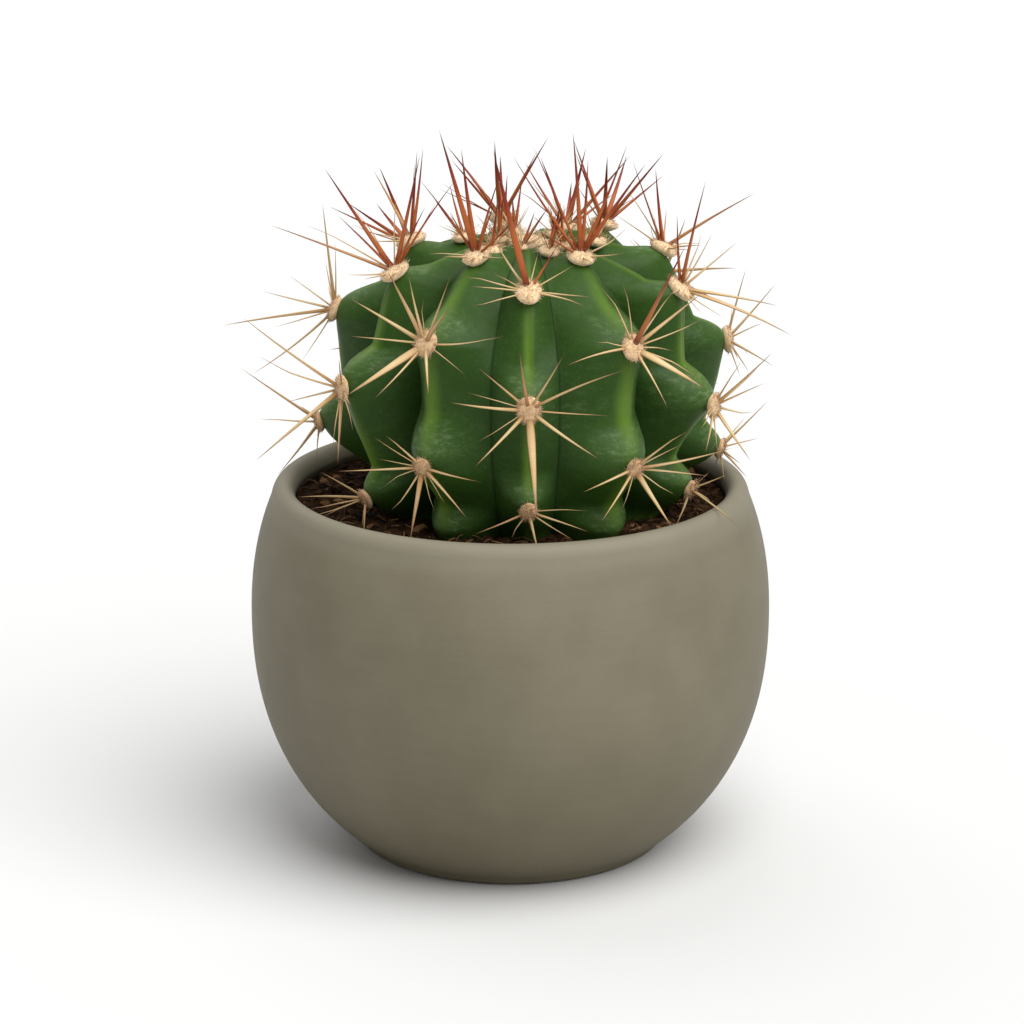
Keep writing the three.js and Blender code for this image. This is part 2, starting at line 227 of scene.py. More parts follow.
# one material under construction
class Shader:
    def __init__(self, name, roughness, specular, **fixed):
        self.material = bpy.data.materials.new(name)
        self.material.use_nodes = True
        self.tree = self.material.node_tree
        self.surface = self.tree.nodes["Principled BSDF"]
        self.surface.inputs["Roughness"].default_value = roughness
        self.surface.inputs["Specular IOR Level"].default_value = specular
        for key, value in fixed.items():
            self.surface.inputs[key.replace("_", " ")].default_value = value

    # one node: settings are its own properties, and inputs are numbers or values to link
    def node(self, kind, settings, inputs, output=0):
        made = self.tree.nodes.new(kind)
        for key, value in settings.items():
            if key == "stops":
                ramp = made.color_ramp.elements
                ramp[0].position, ramp[-1].position = value[0][0], value[-1][0]
                for place, _ in value[1:-1]:
                    ramp.new(place)
                for element, (_, colour) in zip(list(ramp), value):
                    element.color = (*colour, 1)
            else:
                setattr(made, key, value)
        for key, value in inputs.items():
            if isinstance(value, Val):
                self.tree.links.new(value.socket, made.inputs[key])
            else:
                made.inputs[key].default_value = value
        return Val(self, made.outputs[output])

    def place(self):
        return self.node("ShaderNodeTexCoord", {}, {}, "Object")

    def height(self):
        return self.node("ShaderNodeSeparateXYZ", {}, {0: self.place()}, "Z")

    def value(self, name):
        return self.node("ShaderNodeAttribute", {"attribute_name": name}, {}, "Fac")

    def noise(self, scale, detail=3, rough=0.55, stretch=None):
        vector = self.place()
        if stretch:
            vector = self.node("ShaderNodeMapping", {}, {"Vector": vector, "Scale": stretch})
        inputs = {"Vector": vector, "Scale": scale, "Detail": detail, "Roughness": rough}
        return self.node("ShaderNodeTexNoise", {}, inputs, "Fac")

    def spots(self, scale):
        inputs = {"Vector": self.place(), "Scale": scale}
        return self.node("ShaderNodeTexVoronoi", {"feature": "F1"}, inputs, "Distance")

    def mix(self, share, first, second):
        settings = {"data_type": "RGBA"}
        return self.node("ShaderNodeMix", settings, {0: share, 6: paint(first), 7: paint(second)}, 2)

    def ramp(self, share, stops):
        return self.node("ShaderNodeValToRGB", {"stops": stops}, {0: share})

    def bump(self, height, strength, distance):
        inputs = {"Height": height, "Strength": strength, "Distance": distance}
        self.feed("Normal", self.node("ShaderNodeBump", {}, inputs))

    def feed(self, key, value):
        self.tree.links.new(value.socket, self.surface.inputs[key])


def paint(colour):
    # a fixed colour gets its alpha, and a socket stays as it is
    return (*colour, 1) if isinstance(colour, tuple) else colour


# matte stoneware: broad clouds and small blotches and a fine grain, with a paler lip that is a painted
# highlight and a darker, browner foot that is painted shade
def potMatter():
    look = {
        "light": (0.176, 0.157, 0.106),
        "dark": (0.124, 0.109, 0.069),
        # the foot colour is painted shade, darkening the pot towards the underside
        "foot": (0.100, 0.080, 0.042),   # browner towards the underside
        # the lip colour is a painted highlight along the top of the rim
        "lip": (0.225, 0.205, 0.150),
        "grain": 0.16,
    }
    shader = Shader("potCeramic", 0.62, 0.35)
    clouds = shader.noise(16, 4, 0.5).between(0.3, 0.7)
    grain = shader.noise(900, 2, 0.6)
    blotches = shader.noise(60, 4, 0.6).between(0.25, 0.75)
    strokes = shader.noise(40, 4, 0.6, (1, 1, 12)).between(0.3, 0.7)
    share = clouds * 0.5 + blotches * 0.28 + strokes * 0.08 + grain * 0.14
    colour = shader.mix(share, look["dark"], look["light"])
    height = shader.height()
    # painted shade: the pot turns darker and browner towards its foot
    colour = shader.mix((1 - height.between(-0.01, 0.07)) * 0.6, colour, look["foot"])
    # painted highlight: the lip is made paler
    colour = shader.mix(height.between(0.098, 0.106) * 0.5, colour, look["lip"])
    specks = 1 - shader.spots(700).between(0.0, 0.18)
    shader.feed("Base Color", shader.mix(specks * look["grain"], colour, (0.075, 0.064, 0.042)))
    shader.feed("Roughness", grain * 0.12 + 0.55)
    shader.bump(shader.noise(1500, 3, 0.6) + shader.noise(300, 2) * 0.5 + strokes * 0.3, 0.25, 0.00022)
    return shader.material


# damp potting mix: its own varied tone, tied to the bump so that it is painted shade in the hollows and
# a painted highlight on the tops
def soilMatter():
    look = {"dark": (0.007, 0.004, 0.002), "mid": (0.024, 0.011, 0.0045), "pale": (0.095, 0.050, 0.022)}
    shader = Shader("pottingSoil", 1.0, 0.03)
    lumps = shader.noise(260, 5, 0.7)
    # the tone follows the bump's noise: dark in its hollows as painted shade, pale on its tops as a
    # painted highlight
    tone = shader.ramp(lumps, [(0.35, look["dark"]), (0.58, look["mid"]), (0.8, look["pale"])])
    shader.feed("Base Color", tone)
    shader.bump(lumps + shader.noise(1400, 3) * 0.4, 0.9, 0.0012)
    return shader.material


# bark, crumbs and fibres, each piece with a tone of its own
def barkMatter():
    look = {"dark": (0.009, 0.0045, 0.002), "mid": (0.044, 0.020, 0.008), "pale": (0.22, 0.115, 0.050)}
    shader = Shader("barkChips", 0.9, 0.08)
    tone = shader.value("tone")
    grain = shader.noise(900, 3, 0.6, (1, 1, 4))
    share = tone * 0.8 + grain * 0.3
    stops = [(0.15, look["dark"]), (0.6, look["mid"]), (1.0, look["pale"])]
    shader.feed("Base Color", shader.ramp(share, stops))
    shader.bump(grain, 0.7, 0.0004)
    return shader.material


# green skin: a yellow-green crest band that is partly a painted highlight, dust and a painted highlight
# in patches above the swellings, and painted shade towards the valleys and in their creases
def skinMatter():
    look = {
        # the valley colour is painted shade in the creases between ribs
        "valley": (0.005, 0.013, 0.003),
        # painted shade: the darker green of the flanks towards the valleys
        "shadedGreen": (0.016, 0.043, 0.006),
        "green": (0.025, 0.064, 0.008),
        "fresh": (0.040, 0.092, 0.010),
        # the crest colour is partly the ridge's own yellow-green and partly a painted highlight along
        # it
        "crest": (0.092, 0.170, 0.016),
        "bloom": (0.150, 0.215, 0.095),
    # the bloom colour is partly the skin's real pale bloom and dust and partly a painted highlight
    }
    shader = Shader("stemSkin", 0.42, 0.12, Subsurface_Weight=0.08, Subsurface_Scale=0.004)
    shader.surface.inputs["Subsurface Radius"].default_value = (0.4, 1.0, 0.25)
    crest = shader.value("crest")
    knob = shader.value("knob")
    bloom = shader.value("bloom")
    youth = shader.value("youth")
    clouds = shader.noise(45, 4, 0.55)
    mottle = shader.noise(210, 5, 0.7).between(0.3, 0.7)
    # painted shade: the skin darkens from the crests towards the valleys, mixed with its own mottling
    lit = (crest * 0.7 + clouds * 0.5 + mottle * 0.3 - 0.3).between(0, 1)
    colour = shader.mix(lit, look["shadedGreen"], look["green"])
    colour = shader.mix(youth * 0.4 + crest * knob * 0.25, colour, look["fresh"])
    # partly the crest's own yellow-green band, partly a painted highlight along the ridge
    crestBandAndHighlight = (crest + clouds * 0.16 - 0.08).between(0.74, 1.0) * (1 - knob * 0.8)
    colour = shader.mix(crestBandAndHighlight * (0.9 - youth * 0.55), colour, look["crest"])
    scuffs = shader.noise(240, 6, 0.8, (1, 1, 2.2)).between(0.47, 0.66)
    # dust and scuffs, strongest in the bloom patches, which are partly a painted highlight
    dustAndHighlight = (bloom * 0.9 + clouds * 0.9 - 0.3).between(0, 0.8) * scuffs
    colour = shader.mix(dustAndHighlight * 0.5 + bloom * 0.18, colour, look["bloom"])
    specks = 1 - shader.spots(800).between(0.04, 0.2)
    colour = shader.mix(specks * 0.2, colour, look["bloom"])
    # painted shade: the valley creases are darkened
    colour = shader.mix((1 - crest.between(0.0, 0.05)) * 0.6, colour, look["valley"])
    shader.feed("Base Color", colour)
    sheen = shader.noise(160, 3) * 0.22 + dustAndHighlight * 0.1 + 0.34
    shader.feed("Roughness", sheen + (1 - crest.between(0, 0.06)) * 0.4)
    pores = shader.spots(1100) * 0.35
    folds = shader.noise(110, 4, 0.5, (1, 1, 0.5))
    shader.bump(folds + shader.noise(700, 2) * 0.25 + pores * 0.3, 0.28, 0.0006)
    return shader.material


# woolly felt, browner when old and in the middle
def feltMatter():
    look = {"cream": (0.76, 0.56, 0.34), "tan": (0.54, 0.330, 0.165), "brown": (0.25, 0.105, 0.040)}
    shader = Shader("areoleFelt", 0.95, 0.15, Sheen_Weight=0.35, Sheen_Roughness=0.5)
    age = shader.value("age")
    core = shader.value("core")
    wool = shader.noise(1100, 4, 0.7)
    colour = shader.mix((age * 0.6 + wool * 0.7 - 0.15).between(0, 1), look["cream"], look["tan"])
    colour = shader.mix((core * wool * 1.1).between(0.4, 1.0) * 0.8, colour, look["brown"])
    shader.feed("Base Color", colour)
    shader.bump(wool + shader.noise(2600, 2) * 0.6, 0.5, 0.0004)
    return shader.material


# spines from straw to red, with a dark root and tip and faint cross bands
def spineMatter():
    look = {
        "root": (0.27, 0.125, 0.042),
        "straw": (0.54, 0.385, 0.180),
        "pale": (0.65, 0.500, 0.270),
        "tip": (0.16, 0.085, 0.055),
        "redRoot": (0.120, 0.018, 0.005),
        "orange": (0.340, 0.085, 0.020),
        "red": (0.200, 0.020, 0.009),
        "maroon": (0.042, 0.008, 0.007),
    }
    shader = Shader("spineHorn", 0.45, 0.25)
    along = shader.value("along")
    red = shader.value("red")
    length = shader.value("lengthMm")
    bands = shader.node("ShaderNodeMath", {"operation": "SINE"}, {0: length * 7.0})
    streak = shader.noise(420, 3, 0.6)
    share = along + streak * 0.2 - 0.1
    straw = shader.ramp(share, [
        (0.0, look["root"]), (0.17, look["straw"]), (0.38, look["pale"]), (0.72, look["straw"]),
        (0.97, look["tip"]),
    ])
    crimson = shader.ramp(share, [
        (0.0, look["redRoot"]), (0.22, look["orange"]), (0.40, look["orange"]), (0.62, look["red"]),
        (0.95, look["maroon"]),
    ])
    colour = shader.mix(shader.value("edge") * (1 - red) * 0.8, straw, look["root"])
    colour = shader.mix(red.between(0.0, 0.7), colour, crimson)
    colour = shader.mix((bands * 0.5 + 0.5) * 0.05, colour, look["root"])
    shader.feed("Base Color", colour)
    shader.feed("Roughness", streak * 0.25 + 0.34)
    shader.bump(bands * 0.15 + streak, 0.25, 0.0002)
    return shader.material


# a plain pale floor, very slightly warm
def floorMatter():
    shader = Shader("paleFloor", 0.9, 0.1)
    shade = studio["floorShade"]
    warm = (shade, shade * 0.998, shade * 0.985)
    shader.feed("Base Color", shader.mix(shader.noise(3, 2), warm, tuple(0.99 * part for part in warm)))
    return shader.material


pot = {
    "radius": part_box("pot")[1][0],
    "height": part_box("pot")[1][2],
    "bulgeHeight": 69 * mm,
    "reachBelow": 80 * mm,
    "reachAbove": 77 * mm,
    "power": 2.2,
    "wall": 7 * mm,
    "floor": 9 * mm,
    "lip": 4.5 * mm,
    "lipOut": 0.8 * mm,       # how far the lip's roll leans in from the outside
    "lipIn": 0.4 * mm,
    "foot": 2.5 * mm,         # height of the rounded heel
    "heelWide": 1.6,          # the heel's reach along the underside, in foot heights
    "heelCorner": 0.3,
    "wobble": 0.12 * mm,      # hand-made unevenness
    "wobbleCell": 35 * mm,
    "sides": 220,
}


def potOutside(height):
    # radius of a truncated super-ellipse: (1 - share^p)^(1/p) of the widest radius
    reach = np.where(height < pot["bulgeHeight"], pot["reachBelow"], pot["reachAbove"])
    share = np.abs(height - pot["bulgeHeight"]) / reach
    return pot["radius"] * (1 - share ** pot["power"]) ** (1 / pot["power"])


def potProfile():
    # radius and height up the outside, over the round lip and down the inside: the heel is a curve
    # with one control point and the lip a curve with two
    foot, lip, top = pot["foot"], pot["lip"], pot["height"]
    turn = np.linspace(0, 1, 9)[:, None]
    heel = potOutside(np.array(foot))
    wide, bend = heel - foot * pot["heelWide"], heel - foot * pot["heelCorner"]
    corner = (1 - turn) ** 2 * [wide, 0] + 2 * turn * (1 - turn) * [bend, 0] + turn ** 2 * [heel, foot]
    rise = np.linspace(foot, top - lip, 60)[1:]
    outer = np.stack([potOutside(rise), rise], -1)
    edge = potOutside(np.array(top - lip))
    inner = edge - pot["wall"]
    t = np.linspace(0, 1, 22)[1:, None]
    ends = [np.array([edge, top - lip]), np.array([edge - pot["lipOut"], top + lip / 3]),
            np.array([inner + pot["lipIn"], top + lip / 3]), np.array([inner, top - lip])]
    roll = ((1 - t) ** 3 * ends[0] + 3 * t * (1 - t) ** 2 * ends[1]
            + 3 * t * t * (1 - t) * ends[2] + t ** 3 * ends[3])
    drop = np.linspace(top - lip, pot["floor"], 30)[1:]
    inside = np.stack([potOutside(drop) - pot["wall"], drop], -1)
    flat = [[heel * 0.5, 0]]
    return np.concatenate([flat, corner, outer, roll, inside])


def spun(profile, sides, wobble=0.0):
    # a profile of radius and height carried round the Z axis, counterclockwise
    turn = np.arange(sides) * 2 * np.pi / sides
    radius = profile[:, :1] * np.ones(sides)
    level = profile[:, 1:] * np.ones(sides)
    place = np.stack([radius * np.cos(turn), radius * np.sin(turn), level], -1)
    if wobble:
        out = unit(place * [1, 1, 0] + 1e-9)
        place = place + out * softNoise.at(place, pot["wobbleCell"])[..., None] * wobble
    return place


def makePot(material):
    # the profile carried round the axis and closed at the underside and the inside floor
    profile = potProfile()
    rings = spun(profile, pot["sides"], pot["wobble"])[None]
    start = np.array([[0, 0, 0.0]])
    end = np.array([[0, 0, pot["floor"]]])
    points, quads, triangles = closedTubes(rings, start, end)
    piece = meshFrom("potShell", points, quads, triangles, material, {})
    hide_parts("pot")
    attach(piece, "root")


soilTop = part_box("soil")[1][2]
stem = {
    "x": 5 * mm,
    "radius": 56 * mm,        # of the crests at the belt
    "belt": 40 * mm,          # height of the widest ring above the soil
    "crownRise": 37.5 * mm,
    "rootDrop": 62.9 * mm,
    "crownPower": 2.4,
    "dimple": 3 * mm,         # depth of the hollow in the crown's middle
    "dimpleRadius": 9 * mm,
    "ribs": 11,
    "ribSpread": 1.5,         # degrees by which the ribs stray from even spacing
    "ribFade": (-66, -44),    # latitudes between which the ribs rise out of the buried tip
    "flankPower": 1.05,       # 1 is a straight flank from crest to valley, more is fuller
    "knobFullness": 0.6,      # added to that power where the rib swells
    "crestRound": 0.13,       # share of a flank over which the crest is rounded
    "crownFlattening": 0.4,   # power of the cosine by which the ribs die away at the crown
    "valleySink": 0.5,        # share of a valley's depth that also moves it towards the belt
    "valleyChange": (5, 35),  # latitudes between which a valley goes from its low to its high depth
    "shelfStart": 1.5,        # degrees above a swelling's middle at which it begins to drop
    # the bloom patches are partly real bloom and partly a painted highlight on the shelf above each
    # swelling
    "bloomAndHighlightPlace": 0.42,       # of the pale bloom, as a share of the shelf above a swelling
    "bloomAndHighlightHeight": 0.3,
    "bloomAndHighlightFall": 0.42,        # how far it reaches from the crest towards the valley
    "youth": (10, 80),        # latitudes between which the skin turns from old to young
    "ripple": 0.35 * mm,
    "rippleCell": 11 * mm,
    "fineRipple": 0.10 * mm,
    "fineCell": 4 * mm,
    "columns": 396,
    "rows": 200,
}
ribTurn = 2 * np.pi / stem["ribs"]

# Along each rib from its foot to the crown: the latitude of a swelling, how far the rib stands out
# there in mm, then how many degrees the swelling takes to drop above it and how deep the crest dips
# in mm. The first swelling is the rib's foot, and the others carry areoles.
ribShapes = {
    0: [(-48, 0, 8, 1), (-27, 1.5, 9, 3), (1, 1.5, 16, 5.5), (47, 1.5, 14, 2)],
    1: [(-38, 2.5, 8, 2.5), (-16, 2, 12, 4.3), (20, 1.5, 24, 3.5), (65, 1.5, 12, 1)],
    2: [(-50, 0, 8, 2), (-29, 1.5, 6, 6), (-5.5, 1.5, 13, 7.8), (38, 1.5, 14, 4)],
    3: [(-44, 0, 8, 2), (-24, 5, 7, 1.8), (4.5, 1.5, 15, 6.5), (51, 1.5, 14, 2)],
    4: [(-36, 2, 8, 3), (-11, 1.5, 12, 4), (23, 1.5, 20, 4), (63, 1.5, 12, 1)],
    5: [(-46, 0, 8, 2), (-25, 1.5, 9, 4), (1, 1.5, 15, 6), (45, 1.5, 14, 2)],
    -5: [(-38, 2, 8, 3), (-16, 1.5, 11, 4), (20, 1.5, 20, 4), (64, 1.5, 12, 1)],
    -4: [(-48, 0, 8, 2), (-26, 1.5, 9, 4), (-3, 1.5, 14, 6), (40, 1.5, 14, 3)],
    -3: [(-42, 0, 8, 2), (-16.6, 7, 9, 1.7), (16.3, 1.5, 25, 5), (58, 1.5, 12, 2)],
    -2: [(-52, 0, 8, 2), (-31, 3, 7, 2.2), (-1, 1.5, 17, 7.1), (47.5, 1.5, 14, 2)],
    -1: [(-38, 2.5, 8, 2.5), (-15.7, 2, 14, 4.3), (21.6, 1.5, 22, 2), (65, 1.5, 12, 1)],
}
ribOrder = [*range(0, 6), *range(-5, 0)]  # from the front rib round to the one on its left
ribTable = np.array([ribShapes[rib] for rib in ribOrder], float)
# Each valley's place as a share of the way to the next rib, and its depth as a share of the radius,
# low on the stem and high on it.
valleyShare = np.array([0.31, 0.5, 0.5, 0.5, 0.5, 0.5, 0.5, 0.5, 0.5, 0.5, 0.62])
valleyLow = np.array([0.10, 0.31, 0.31, 0.31, 0.31, 0.31, 0.31, 0.31, 0.31, 0.31, 0.10])
valleyHigh = np.array([0.17, 0.31, 0.31, 0.31, 0.31, 0.31, 0.31, 0.31, 0.31, 0.31, 0.17])


def crestLine(latitude):
    # radius and height above the soil of the rib crests: a squat super-ellipse over an ellipse
    angle = np.radians(latitude)
    out = np.clip(np.cos(angle), 0, None)
    up = np.sin(angle)
    power = np.where(latitude > 0, 2 / stem["crownPower"], 1)
    rise = np.where(latitude > 0, stem["crownRise"], stem["rootDrop"])
    return stem["radius"] * out ** power, stem["belt"] + rise * np.sign(up) * np.abs(up) ** power


def strayed(turn):
    # the valleys lie off the middle between ribs, and the ribs stray from even spacing
    steps = turn / ribTurn
    rib = np.floor(steps)
    share = steps - rib
    valley = valleyShare[rib.astype(int) % stem["ribs"]]
    share = np.where(share < 0.5, share * 2 * valley, 1 - (1 - share) * 2 * (1 - valley))
    even = (rib + share) * ribTurn
    return even - np.radians(stem["ribSpread"]) * np.sin(2 * even)


def smooth(low, high, value):
    # eases from 0 at low to 1 at high as 3t^2 - 2t^3
    t = np.clip((value - low) / (high - low), 0, 1)
    return t * t * (3 - 2 * t)


def swellings(rib, latitude):
    # how far a rib's crest stands off the crest line: it holds a swelling's size, eases down to the
    # dip over the shelf above it, then rises as 1 - (1 - share)^2 to the next swelling
    table = ribTable[rib]
    push = table[..., 0, 1]
    knob = np.ones_like(latitude)
    bloom = np.zeros_like(latitude)
    for k in range(4):
        place, size, shelf, dip = (table[..., k, i] for i in range(4))
        step = latitude - place
        away = smooth(stem["shelfStart"], shelf, step)
        rising = size - (size + dip) * away
        if k < 3:
            upper, upperSize = table[..., k + 1, 0], table[..., k + 1, 1]
            share = np.clip((upper - latitude) / (upper - place - shelf), 0, 1)
            drop = smooth(0, 1, share) if k == 0 else 1 - (1 - share) ** 2
            rising = np.where(step > shelf, upperSize - (upperSize + dip) * drop, rising)
            away = np.where(step > shelf, drop, away)
        push = np.where(step > 0, rising, push)
        knob = np.where(step > 0, 1 - away, knob)
        # the bloom patch above each swelling, partly real bloom and partly a painted highlight where
        # the shelf faces up
        off = (step - shelf * stem["bloomAndHighlightPlace"]) / (shelf * stem["bloomAndHighlightHeight"])
        bloom = bloom + np.exp(-(off ** 2))
    return push, knob, bloom


def crestNormal(latitude):
    # the crest line's unit normal as radius and height, from its slope over a small step
    step = 0.3
    r1, h1 = crestLine(np.clip(latitude - step, -90, 90 - 2 * step))
    r2, h2 = crestLine(np.clip(latitude + step, 2 * step - 90, 90))
    size = np.hypot(r2 - r1, h2 - h1)
    return (h2 - h1) / size, (r1 - r2) / size


def skinPoints(turn, latitude):
    # the crest line pulled towards the core by depth * fall^power, where fall is 0 on a crest and 1
    # in a valley, plus the swelling of the rib, which fades from the crest to the valley
    nearest = np.round(turn / ribTurn).astype(int)
    fall = np.abs(turn / ribTurn - nearest) * 2
    valley = np.floor(turn / ribTurn).astype(int) % stem["ribs"]
    push, knob, bloom = swellings(nearest % stem["ribs"], latitude)
    soft = stem["crestRound"]
    rounded = (np.sqrt(fall ** 2 + soft ** 2) - soft) / (np.sqrt(1 + soft ** 2) - soft)
    rise = smooth(*stem["ribFade"], latitude)
    flattening = np.cos(np.radians(np.clip(latitude, 0, 90))) ** stem["crownFlattening"]
    fullness = stem["flankPower"] + stem["knobFullness"] * knob
    change = smooth(*stem["valleyChange"], latitude)
    full = valleyLow[valley] + (valleyHigh - valleyLow)[valley] * change
    depth = full * rise * flattening * rounded ** fullness
    lift = push * mm * (1 - fall) * rise * flattening
    radius, height = crestLine(latitude)
    dimple = stem["dimple"] * np.exp(-((radius / stem["dimpleRadius"]) ** 2)) * (latitude > 0)
    outward, upward = crestNormal(latitude)
    above = (height - stem["belt"]) * (1 - depth * stem["valleySink"]) + lift * upward
    radius = radius * (1 - depth) + lift * outward
    azimuth = strayed(turn)
    points = np.stack([
        stem["x"] + radius * np.sin(azimuth),
        -radius * np.cos(azimuth),
        soilTop + stem["belt"] + above - dimple,
    ], -1)
    return points, fall, knob, bloom


def makeStem(material):
    # the skin on a grid of turns and latitudes, with a fine ripple of noise
    columns, rows = stem["columns"], stem["rows"]
    turn = (np.arange(columns) - columns // 2) * 2 * np.pi / columns
    latitude = np.linspace(-90, 90, rows + 2)[1:-1]
    turns, latitudes = np.meshgrid(turn, latitude)
    points, fall, knob, bloom = skinPoints(turns, latitudes)
    core = np.array([stem["x"], 0, soilTop + stem["belt"]])
    out = unit(points - core)
    ripple = softNoise.at(points, stem["rippleCell"]) * stem["ripple"]
    ripple = ripple + roughNoise.at(points, stem["fineCell"]) * stem["fineRipple"]
    fade = smooth(-1, -0.9, -np.abs(latitudes) / 90)  # to nothing at both poles
    points = points + out * (ripple * fade)[..., None]
    crest = 1 - fall
    # the bloom patch, partly a painted highlight, fades from the crest towards the valley
    bloom = bloom * np.exp(-((fall / stem["bloomAndHighlightFall"]) ** 2))
    youth = smooth(*stem["youth"], latitudes)
    start = points[0].mean(0)[None]
    end = points[-1].mean(0)[None]
    mesh = closedTubes(points[None], start, end)
    attributes = {
        "crest": tubeValues(crest[None], np.zeros(1), np.ones(1)),
        "knob": tubeValues(knob[None], np.ones(1), np.ones(1)),
        "bloom": tubeValues(bloom[None], np.zeros(1), np.zeros(1)),
        "youth": tubeValues(youth[None], np.zeros(1), np.ones(1)),
    }
    piece = meshFrom("ribbedStem", *mesh, material, attributes)
    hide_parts("cactus_stem")
    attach(piece, "root")


